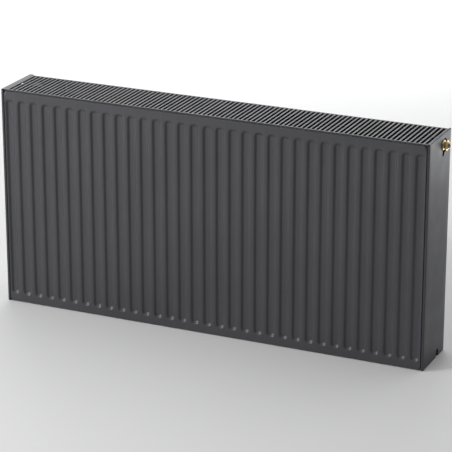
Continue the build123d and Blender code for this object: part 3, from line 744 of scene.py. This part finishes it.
def panel_lines(length, height, settings):
    """Grid lines of a pressed sheet, finest at the recess walls, the recess ends and the rim."""
    wall_margin, side_margin = 0.3 * MM, 4.4 * MM
    pitch = length / settings.channels
    wall_low, wall_high = settings.wall_start - wall_margin, settings.wall_end + wall_margin
    half_pitch = np.concatenate([[0.0], np.linspace(wall_low, wall_high, 8), [pitch / 2]])
    one = np.concatenate([-half_pitch[:0:-1], half_pitch])
    centres = (np.arange(settings.channels) - (settings.channels - 1) / 2) * pitch
    lines = np.unique(np.round((centres[:, None] + one[None, :]).ravel(), 7))
    inner = lines[(lines > -length / 2 + side_margin) & (lines < length / 2 - side_margin)]
    edge = MM * np.array([0.0, 0.3, 0.5, 0.75, 1.0, 1.25, 1.5, 1.8, 2.4, 3.6])
    along = np.concatenate([-length / 2 + edge, inner, (length / 2 - edge)[::-1]])
    ends = MM * np.concatenate([np.arange(9.0, 21.0, 6.0), np.arange(20.4, 36.0, 1.3)])
    lower = np.concatenate([edge, ends])
    waist = np.linspace(lower[-1], height - lower[-1], 9)[1:-1]
    return along, np.concatenate([lower, waist, (height - lower)[::-1]])


def pressed_panel(name, node, outer_y, towards, material, settings):
    """One pressed sheet: its outer height field, the inner face behind it and the rim between."""
    low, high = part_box(node)
    length, height = high.x - low.x, high.z
    middle = (low.x + high.x) / 2
    grid_a, grid_u = np.meshgrid(*panel_lines(length, height, settings))
    rise = pressing_height(grid_a, grid_u, length, height, settings)
    seam = outer_y - towards * SEAM_DEPTH
    outer = np.stack([grid_a + middle, seam + towards * rise, grid_u], axis=-1).reshape(-1, 3)
    inner_face = outer - np.array([0.0, towards * settings.sheet, 0.0])
    inner_face[:, 1] = seam + towards * np.maximum(towards * (inner_face[:, 1] - seam), 0.0)
    rows, columns = grid_a.shape
    shift = rows * columns
    numbers = np.arange(shift).reshape(rows, columns)
    sides = (numbers[0, :-1], numbers[:-1, -1], numbers[-1, :0:-1], numbers[:0:-1, 0])
    rim = np.concatenate(sides)
    next_rim = np.roll(rim, -1)
    walls = np.stack([rim, next_rim, next_rim + shift, rim + shift], axis=-1)
    faces = grid_faces(rows, columns)
    all_faces = np.concatenate([faces, faces[:, ::-1] + shift, walls])
    piece = new_piece(name, np.concatenate([outer, inner_face]), all_faces, material, crease=60.0)
    return stand_for(piece, RADIATOR, node, slot="anthracite_enamel")


class RADIATOR_OT_panels(Operator):
    """Press the outer faces of the front and rear panels and coat every panel sheet"""

    bl_idname = "radiator.panels"
    bl_label = "Pressed panels"

    def execute(self, context):
        settings = context.scene.radiator_panels
        coats = finishes()
        coat = coats["panel enamel"]
        front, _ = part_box("front_panel_outer_sheet")
        _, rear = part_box("rear_panel_back_sheet")
        pressed_panel("front_panel_face", "front_panel_outer_sheet", front.y, -1, coat, settings)
        pressed_panel("rear_panel_face", "rear_panel_back_sheet", rear.y, 1, coat, settings)
        # The inner sheets take the enamel darkened as painted shade for the unlit inside
        dress(coats["duct enamel"], "front_panel_inner_sheet", "middle_panel_front_sheet",
              "middle_panel_back_sheet", "rear_panel_front_sheet")
        return {"FINISHED"}


class RADIATOR_OT_convectors(Operator):
    """Fold the three corrugated convectors between the panels"""

    bl_idname = "radiator.convectors"
    bl_label = "Convectors"

    def execute(self, context):
        # The convectors take the enamel darkened as painted shade for the unlit inside
        coat = finishes()["duct enamel"]
        sheet, lean, bend, folds = 0.6 * MM, 0.9 * MM, 1.6 * MM, 28
        for node, near_is_low in (("front_convector", True), ("middle_convector", True),
                                  ("rear_convector", False)):
            low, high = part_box(node)
            near, far = (low.y, high.y) if near_is_low else (high.y, low.y)
            inset = sheet / 2 if near_is_low else -sheet / 2
            near, far = near + inset, far - inset
            step = (high.x - low.x) / (2 * folds)
            number = np.arange(1, 2 * folds)
            wall_x = low.x + number * step
            outwards = number % 2 == 1
            arriving = np.stack([wall_x - lean, np.where(outwards, near, far)], axis=-1)
            leaving = np.stack([wall_x + lean, np.where(outwards, far, near)], axis=-1)
            corners = np.stack([arriving, leaving], axis=1).reshape(-1, 2)
            path = np.concatenate([[[low.x, near]], corners, [[high.x, far]]])
            heights = np.linspace(low.z, high.z, 5)
            points, faces = drawn_sheet(rounded_path(path, bend), heights)
            piece = new_piece(node + "_fins", points, faces, coat)
            thicken(piece, sheet, offset=0.0)
            stand_for(piece, RADIATOR, node, slot="convector_enamel")
        return {"FINISHED"}


class RADIATOR_OT_grille(Operator):
    """Punch and fold the slotted top grille"""

    bl_idname = "radiator.grille"
    bl_label = "Top grille"

    def execute(self, context):
        casing = context.scene.radiator_casing
        low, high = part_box("top_grille")
        first_slot, setback, margin, corner = 22.2 * MM, 4.5 * MM, 2.6 * MM, 1.5 * MM
        radius, pitch, half = casing.fold, casing.slot_pitch, casing.slot_width / 2
        slot_low = low.y + setback
        slot_high = slot_low + casing.slot_length
        left_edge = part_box("left_side_cover")[0].x
        centres = left_edge + first_slot + pitch * np.arange(casing.slots)
        offsets = np.array([-pitch / 2, -half, corner - half, 0.0, half - corner, half])
        slot_lines = (centres[:, None] + offsets[None, :]).ravel()
        across = np.concatenate([[low.x], slot_lines, [centres[-1] + pitch / 2, high.x]])
        before, after = fold_lines(low.y, high.y, radius, high.z - low.z, high.z - low.z)
        block = slot_low - margin, slot_high + margin
        middle = np.linspace(slot_low + corner, slot_high - corner, 5)
        slot_rows = np.concatenate([[block[0], slot_low], middle, [slot_high, block[1]]])
        along = np.concatenate([before, slot_rows, after])
        rows = [line_number(along, line) for line in block]

        def slot(centre):
            """Distance function of the slot whose middle is at one place along the grille."""
            spot = np.array([centre, (slot_low + slot_high) / 2])
            shape = (half, casing.slot_length / 2)
            return lambda spots: rounded_box_distance(spots, spot, shape, corner)

        firsts = 1 + len(offsets) * np.arange(casing.slots)
        holes = [
            ((first, first + len(offsets), *rows), slot(centre), False)
            for first, centre in zip(firsts, centres)
        ]
        flat, faces = punched_sheet(across, along, lambda a, b: np.ones(a.shape, bool), holes)
        y, depth = fold(flat[:, 1], low.y, high.y, radius)
        points = np.stack([flat[:, 0], y, high.z - depth], axis=-1)
        coat = finishes()["casing enamel"]
        piece = new_piece("slotted_grille", points, faces, coat, facing=(0, 0, 1))
        thicken(piece, casing.sheet, edge=0.28 * MM)
        stand_for(piece, GRILLE, "top_grille", slot="casing_enamel")
        return {"FINISHED"}


def side_tray(casing, node, side, lip, relief):
    """One side cover: a cross-shaped blank with its valve opening and lower notch, folded inwards.

    The blank's two flat coordinates are folded about the face's front, rear, lower and upper
    edges. Both depths add up, so the place is the face's outer plane less their sum.
    """
    flange, fine, coarse, tall = 5.6 * MM, 2.0 * MM, 16 * MM, 48 * MM
    notch_radius, notch_rise, notch_room = 7.5 * MM, 12.5 * MM, 30.0 * MM
    tail_radius, blend = 6.0 * MM, 1.5 * MM
    low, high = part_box(node)
    outer_x = high.x if side > 0 else low.x
    radius = casing.fold
    _, tee_y, tee_z = axis_of_valve()
    front, rear = fold_lines(low.y, high.y, radius, flange, flange)
    base, top = fold_lines(low.z, high.z, radius, flange, lip)
    window = lines_between(tee_y - 28.5 * MM, tee_y + 23.5 * MM, fine)
    before = lines_between(low.y + radius, window[0], coarse)[1:-1]
    after = lines_between(window[-1], high.y - radius, coarse)[1:-1]
    across = np.concatenate([front, before, window, after, rear])
    hole_low, hole_high = tee_z - 33.0 * MM, tee_z + 23.0 * MM
    relief_z = high.z - relief
    lower = lines_between(low.z + radius, notch_room, fine)[1:]
    waist = lines_between(notch_room, hole_low, tall)[1:-1]
    upper = lines_between(hole_low, hole_high, fine)
    along = np.unique(np.concatenate([base, lower, waist, upper, top, [relief_z]]))

    def present(a, b):
        """Cells of the cross: no corner squares, and no side flange beside the top relief."""
        slack = 0.2 * MM
        side_flap = (a < low.y + radius) | (a > high.y - radius)
        end_flap = (b < low.z + radius * 0.9) | (b > relief_z)
        bent = (a < low.y - slack) | (a > high.y + slack)
        corner_square = (b > high.z - radius) | (b < low.z + radius)
        return ~(side_flap & ((end_flap & bent) | corner_square))

    centre = np.array([tee_y, tee_z])
    tail_end = centre - MM * np.array([8.0, 19.0])

    def opening(spots):
        """Distance to the round opening joined to its slanted tail, blended where they meet."""
        ring = np.hypot(*(spots - centre).T) - casing.opening
        tail = capsule_distance(spots, centre, tail_end, tail_radius)
        mix = np.clip(0.5 + 0.5 * (tail - ring) / blend, 0, 1)
        return tail * (1 - mix) + ring * mix - blend * mix * (1 - mix)

    notch_y = tee_y - 5.0 * MM

    def notch(spots):
        """Distance to the round-topped notch in the lower edge."""
        below, above = np.array([notch_y, -0.1]), np.array([notch_y, notch_rise])
        return capsule_distance(spots, below, above, notch_radius)

    columns = [line_number(across, line) for line in (window[0], window[-1])]
    rows = [line_number(along, line) for line in (hole_low, hole_high)]
    notch_sides = (notch_y - 13.5 * MM, notch_y + 14.5 * MM)
    notch_columns = [line_number(across, line) for line in notch_sides]
    holes = [
        ((*columns, *rows), opening, False),
        ((*notch_columns, 0, line_number(along, notch_room)), notch, True),
    ]
    flat, faces = punched_sheet(across, along, present, holes)
    y, depth_y = fold(flat[:, 0], low.y, high.y, radius)
    z, depth_z = fold(flat[:, 1], low.z, high.z, radius)
    points = np.stack([outer_x - side * (depth_y + depth_z), y, z], axis=-1)
    return points, faces


class RADIATOR_OT_side_covers(Operator):
    """Fold both side covers with their valve opening and lower notch"""

    bl_idname = "radiator.side_covers"
    bl_label = "Side covers"

    def execute(self, context):
        casing = context.scene.radiator_casing
        coat = finishes()["casing enamel"]
        trays = (("left_side_cover", -1, 12.0 * MM, 2.0 * MM),
                 ("right_side_cover", 1, 3.5 * MM, 4.0 * MM))
        for node, side, lip, relief in trays:
            points, faces = side_tray(casing, node, side, lip, relief)
            piece = new_piece(node + "_tray", points, faces, coat, facing=(side, 0, 0))
            thicken(piece, casing.sheet, edge=0.25 * MM)
            stand_for(piece, COVERS[node], node, slot="casing_enamel")
        return {"FINISHED"}


class RADIATOR_OT_headers(Operator):
    """Coat the tees and pipework and lay the weld beads that join them to the panels"""

    bl_idname = "radiator.headers"
    bl_label = "Headers and pipes"

    def execute(self, context):
        coat = finishes()["panel enamel"]
        dress(coat, *TEES, "header_spacers", "flow_socket", "return_socket", "riser_pipe")
        tee_radius, spacer_radius = 14.0 * MM, 12.0 * MM
        width, lift, ripples = 1.5 * MM, 0.6 * MM, 34
        rings = []
        first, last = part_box("header_spacers")
        for node in TEES:
            low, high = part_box(node)
            is_upper = low.z + high.z > first.z + last.z
            x = first.x + spacer_radius if low.x < 0 else last.x - spacer_radius
            z = last.z - spacer_radius if is_upper else first.z + spacer_radius
            for y, radius, inwards in ((low.y, tee_radius, 1), (high.y, tee_radius, -1),
                                       (first.y, spacer_radius, 1), (last.y, spacer_radius, -1)):
                spot = (x, y + inwards * lift, z)
                rings.append(bead(spot, (0, 1, 0), radius, width, ripples))
        points, faces = joined(rings)
        piece = new_piece("header_weld_beads", points, faces, coat)
        stand_for(piece, RADIATOR, slot="anthracite_enamel")
        return {"FINISHED"}


class RADIATOR_OT_lugs(Operator):
    """Fold the wall lugs behind the rear panel and add their spot welds"""

    bl_idname = "radiator.lugs"
    bl_label = "Wall lugs"

    def execute(self, context):
        coat = finishes()["panel enamel"]
        sheet, bend, half_width, weld_x = 2.0 * MM, 1.7 * MM, 32 * MM, 25 * MM
        weld_radius, weld_rise = 3.2 * MM, 0.5 * MM
        section = MM * np.array([(-32, 1), (-17, 1), (-17, 7), (17, 7), (17, 1), (32, 1)])
        for node in ("lower_lugs", "upper_lugs"):
            low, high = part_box(node)
            inner = np.linspace(low.z + sheet, high.z - sheet, 5)
            heights = np.concatenate([[low.z], inner, [high.z]])
            plates = []
            domes = []
            for centre_x in (low.x + half_width, high.x - half_width):
                path = rounded_path(section + [centre_x, low.y], bend, 5)
                plates.append(drawn_sheet(path, heights))
                for x in (centre_x - weld_x, centre_x + weld_x):
                    for share in (0.25, 0.75):
                        spot = (x, low.y + sheet, low.z + share * (high.z - low.z))
                        domes.append(spot_weld(spot, weld_radius, weld_rise))
            points, faces = joined(plates)
            piece = new_piece(node + "_folded", points, faces, coat)
            thicken(piece, sheet, offset=0.0, edge=0.4 * MM)
            stand_for(piece, RADIATOR, node, slot="anthracite_enamel")
            points, faces = joined(domes)
            welds = new_piece(node + "_spot_welds", points, faces, coat)
            stand_for(welds, RADIATOR, slot="anthracite_enamel")
        return {"FINISHED"}


def spot_weld(spot, radius, rise):
    """Closed button on a wall facing +Y: a ring-shaped swell round a shallow electrode dimple.

    The height at radius r is the rise times sin(pi r / R), on a disc of radius R, plus a small
    rise at the middle that falls off evenly to the rim.
    """
    around, sunk, middle_rise = 24, 0.3 * MM, 0.15 * rise
    angle = np.linspace(0, 2 * math.pi, around, endpoint=False)[None, :]
    share = np.linspace(0.02, 1.0, 7)[:, None]
    height = rise * np.sin(math.pi * share) + middle_rise * (1 - share)
    top = np.stack(
        [
            spot[0] + radius * share * np.cos(angle),
            spot[1] + height + 0 * angle,
            spot[2] + radius * share * np.sin(angle),
        ],
        axis=-1,
    )
    under = top.copy()[::-1]
    under[..., 1] = spot[1] - sunk
    skin = np.concatenate([top, under, top[:1]])
    return skin.reshape(-1, 3), ring_faces(len(skin), around)


class RADIATOR_OT_valve(Operator):
    """Finish the thermostatic valve insert, its pin and presetting ring"""

    bl_idname = "radiator.valve"
    bl_label = "Valve"

    def execute(self, context):
        coats = finishes()
        # The brass finish paints near-black shade on everything inside a place just outside the
        # right cover
        dress(coats["brass"], "valve_insert_body", "gland_bush")
        dress(coats["ground steel"], "valve_stem")
        dress(coats["black plastic"], "presetting_ring")
        dress(coats["rubber"], "valve_cone", "stem_o_ring", "insert_o_ring")
        wire, turns = 0.4 * MM, 5
        low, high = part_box("valve_spring")
        points, faces = coiled_wire(low, high, wire, turns)
        spring = new_piece("valve_return_spring", points, faces, coats["zinc"])
        stand_for(spring, RADIATOR, "valve_spring", slot="spring_steel")
        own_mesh(spring)
        return {"FINISHED"}


class RADIATOR_OT_vent(Operator):
    """Finish the vent plug, its nozzle and the blind plugs"""

    bl_idname = "radiator.vent"
    bl_label = "Vent and plugs"

    def execute(self, context):
        coats = finishes()
        plugs = ("vent_plug_body", "lower_left_blind_plug", "lower_right_blind_plug")
        dress(coats["nickel"], *plugs)
        # The bleed screw takes the same brass, painted near-black as shade wherever it lies inside
        # that place
        dress(coats["brass"], "bleed_screw")
        dress(coats["pale plastic"], "vent_nozzle")
        seals = ("vent_o_ring", "lower_left_plug_o_ring", "lower_right_plug_o_ring")
        dress(coats["rubber"], *seals)
        return {"FINISHED"}


class RADIATOR_OT_clips(Operator):
    """Finish the spring clips that hold the grille and the side covers"""

    bl_idname = "radiator.clips"
    bl_label = "Clips"

    def execute(self, context):
        clips = ("grille_clips", "left_cover_clips", "right_cover_clips")
        dress(finishes()["spring steel"], *clips)
        return {"FINISHED"}


WHITE, COOL, PALE_BLUE = (1.0, 1.0, 1.0), (0.97, 0.98, 1.0), (0.95, 0.97, 1.0)
# name, place, aim, width and height, watts, colour
LIGHTS = (
    ("left soft light", (-4.2, -0.5, 1.3), (-0.3, 0, 0.3), (1.6, 1.4), 10.0, WHITE),
    ("floor light", (-1.7, 3.3, 2.2), (-1.7, 3.4, 0.0), (3.4, 1.8), 60.0, WHITE),
    ("front floor light", (-0.6, -2.7, 2.6), (-0.6, -2.8, 0.0), (2.8, 1.2), 26.0, WHITE),
    ("rear soft light", (-1.8, 4.2, 2.0), (0, 0.6, 0.4), (4.0, 1.8), 38.0, PALE_BLUE),
    ("side soft light", (1.1, 1.2, 0.24), (0.57, 0.1, 0.75), (0.6, 0.38), 1.7, COOL),
    ("front soft light", (-3.9, -3.2, 1.5), (0, 0, 0.4), (1.2, 1.0), 182.0, WHITE),
)


def area_light(name, place, aim, size, power, tone):
    """A soft rectangular light at a place, looking at a point."""
    data = bpy.data.lights.new(name, "AREA")
    data.shape = "RECTANGLE"
    data.size, data.size_y = size
    data.energy = power
    data.color = tone
    light = bpy.data.objects.new(name, data)
    bpy.context.scene.collection.objects.link(light)
    light.location = place
    light.rotation_euler = (Vector(aim) - Vector(place)).to_track_quat("-Z", "Y").to_euler()
    light.visible_camera = False


class RADIATOR_OT_stage(Operator):
    """Lay the floor, set the soft lights and place the camera"""

    bl_idname = "radiator.stage"
    bl_label = "Studio"

    def execute(self, context):
        studio = context.scene.radiator_studio
        rings = np.array([0.0005, 2.0, 6.0, 14.0, 30.0])[:, None]
        angle = np.linspace(0, 2 * math.pi, 48, endpoint=False)[None, :]
        disc = np.stack([rings * np.cos(angle), rings * np.sin(angle), 0 * rings * angle], axis=-1)
        faces = ring_faces(*disc.shape[:2])
        coat = floor_finish("floor paint", tuple(studio.floor))
        floor = new_piece("studio_floor", disc.reshape(-1, 3), faces, coat, facing=(0, 0, 1))

        world = bpy.data.worlds.new("plain surround")
        context.scene.world = world
        world.use_nodes = True
        backdrop = world.node_tree.nodes["Background"]
        backdrop.inputs["Color"].default_value = (1.0, 1.0, 1.0, 1.0)
        backdrop.inputs["Strength"].default_value = studio.sky

        sun = bpy.data.lights.new("even overhead light", "SUN")
        sun.energy = studio.overhead
        sun.angle = math.radians(70)
        overhead = bpy.data.objects.new("even overhead light", sun)
        overhead.rotation_euler = (math.radians(-18), 0.0, 0.0)
        context.scene.collection.objects.link(overhead)
        for light in LIGHTS:
            area_light(*light)

        back = Vector(
            (
                math.sin(studio.azimuth) * math.cos(studio.elevation),
                -math.cos(studio.azimuth) * math.cos(studio.elevation),
                math.sin(studio.elevation),
            )
        )
        data = bpy.data.cameras.new("camera")
        data.sensor_width = 36.0
        data.lens = studio.lens
        data.clip_start, data.clip_end = 0.05, 100.0
        camera = bpy.data.objects.new("camera", data)
        context.scene.collection.objects.link(camera)
        camera.location = Vector(studio.target) + back * studio.distance
        camera.rotation_euler = (-back).to_track_quat("-Z", "Y").to_euler()
        context.scene.camera = camera
        context.scene.view_settings.view_transform = "Standard"
        return {"FINISHED"}


OPERATORS = (
    RADIATOR_OT_panels,
    RADIATOR_OT_convectors,
    RADIATOR_OT_grille,
    RADIATOR_OT_side_covers,
    RADIATOR_OT_headers,
    RADIATOR_OT_lugs,
    RADIATOR_OT_valve,
    RADIATOR_OT_vent,
    RADIATOR_OT_clips,
    RADIATOR_OT_stage,
)
SETTINGS = {
    "radiator_panels": PanelSettings,
    "radiator_casing": CasingSettings,
    "radiator_finishes": FinishSettings,
    "radiator_studio": StudioSettings,
}


class RADIATOR_PT_sidebar(Panel):
    """Lists the radiator's settings and the operator for each group of pieces"""

    bl_idname = "RADIATOR_PT_sidebar"
    bl_label = "Radiator"
    bl_space_type = "VIEW_3D"
    bl_region_type = "UI"
    bl_category = "Radiator"

    def draw(self, context):
        for name, group in SETTINGS.items():
            box = self.layout.box()
            for field in group.__annotations__:
                box.prop(getattr(context.scene, name), field)
        for operator in OPERATORS:
            self.layout.operator(operator.bl_idname)


def register():
    for group in SETTINGS.values():
        bpy.utils.register_class(group)
    for name, group in SETTINGS.items():
        setattr(bpy.types.Scene, name, PointerProperty(type=group))
    for operator in OPERATORS:
        bpy.utils.register_class(operator)
    bpy.utils.register_class(RADIATOR_PT_sidebar)


def unregister():
    bpy.utils.unregister_class(RADIATOR_PT_sidebar)
    for operator in reversed(OPERATORS):
        bpy.utils.unregister_class(operator)
    for name in SETTINGS:
        delattr(bpy.types.Scene, name)
    for group in reversed(list(SETTINGS.values())):
        bpy.utils.unregister_class(group)


def main():
    """Builds every piece and the studio."""
    register()
    bpy.ops.radiator.panels()
    bpy.ops.radiator.convectors()
    bpy.ops.radiator.grille()
    bpy.ops.radiator.side_covers()
    bpy.ops.radiator.headers()
    bpy.ops.radiator.lugs()
    bpy.ops.radiator.valve()
    bpy.ops.radiator.vent()
    bpy.ops.radiator.clips()
    bpy.ops.radiator.stage()


if __name__ == "__main__":
    main()
